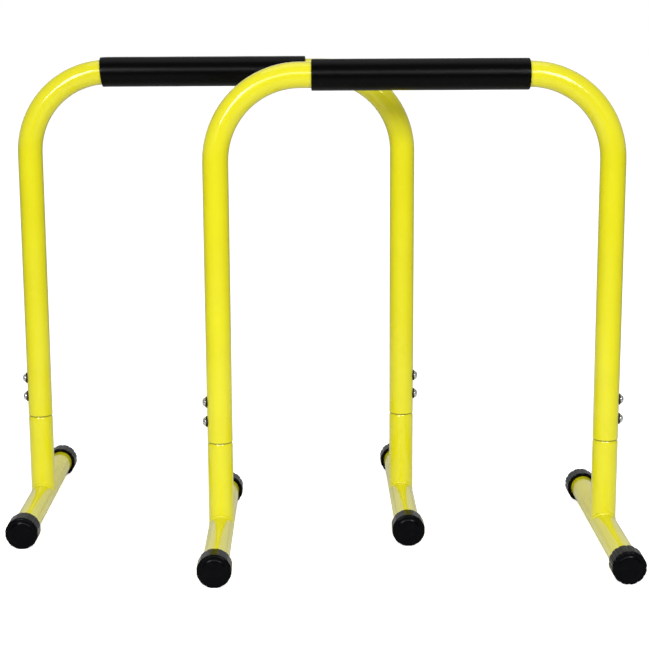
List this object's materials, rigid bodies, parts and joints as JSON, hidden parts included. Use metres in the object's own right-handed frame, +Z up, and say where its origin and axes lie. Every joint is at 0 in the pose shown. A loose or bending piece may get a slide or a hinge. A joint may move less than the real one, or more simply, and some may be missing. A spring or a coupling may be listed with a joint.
{
  "type": "parallel bars",
  "caption": "Pair of low free-standing bars: bent steel tube frames with foam grips, bolted to welded feet with rubber end caps, for dips and push-ups.",
  "frame": {"origin": "middle of the pair's footprint, on the floor", "axes": "+Z up, +X along both top bars to the right of a person facing the pair, +Y from the front bar to the rear bar"},
  "size_m": [0.9352, 0.6, 0.728],
  "materials": {
    "yellow_paint": "glossy powder coat",
    "black_foam": "matt closed-cell foam",
    "black_rubber": "satin moulded rubber",
    "zinc_steel": "bright zinc plate",
    "dark_steel": "black oxide"
  },
  "bodies": {
    "front_bar": {"front_upper_frame": "yellow_paint", "front_grip": "black_foam", "front_left_post": "yellow_paint", "front_left_foot_tube": "yellow_paint", "front_left_weld": "yellow_paint", "front_left_near_cap": "black_rubber", "front_left_far_cap": "black_rubber", "front_left_upper_screw": "zinc_steel", "front_left_upper_washer": "dark_steel", "front_left_upper_weld_nut": "zinc_steel", "front_left_lower_screw": "zinc_steel", "front_left_lower_washer": "dark_steel", "front_left_lower_weld_nut": "zinc_steel", "front_right_post": "yellow_paint", "front_right_foot_tube": "yellow_paint", "front_right_weld": "yellow_paint", "front_right_near_cap": "black_rubber", "front_right_far_cap": "black_rubber", "front_right_upper_screw": "zinc_steel", "front_right_upper_washer": "dark_steel", "front_right_upper_weld_nut": "zinc_steel", "front_right_lower_screw": "zinc_steel", "front_right_lower_washer": "dark_steel", "front_right_lower_weld_nut": "zinc_steel"},
    "rear_bar": {"rear_upper_frame": "yellow_paint", "rear_grip": "black_foam", "rear_left_post": "yellow_paint", "rear_left_foot_tube": "yellow_paint", "rear_left_weld": "yellow_paint", "rear_left_near_cap": "black_rubber", "rear_left_far_cap": "black_rubber", "rear_left_upper_screw": "zinc_steel", "rear_left_upper_washer": "dark_steel", "rear_left_upper_weld_nut": "zinc_steel", "rear_left_lower_screw": "zinc_steel", "rear_left_lower_washer": "dark_steel", "rear_left_lower_weld_nut": "zinc_steel", "rear_right_post": "yellow_paint", "rear_right_foot_tube": "yellow_paint", "rear_right_weld": "yellow_paint", "rear_right_near_cap": "black_rubber", "rear_right_far_cap": "black_rubber", "rear_right_upper_screw": "zinc_steel", "rear_right_upper_washer": "dark_steel", "rear_right_upper_weld_nut": "zinc_steel", "rear_right_lower_screw": "zinc_steel", "rear_right_lower_washer": "dark_steel", "rear_right_lower_weld_nut": "zinc_steel"}
  },
  "joints": [
    {"name": "bar_spacing", "type": "slide", "parent": "front_bar", "child": "rear_bar", "axis": [0, 1, 0], "range_m": [-0.12, 0.425]}
  ]
}
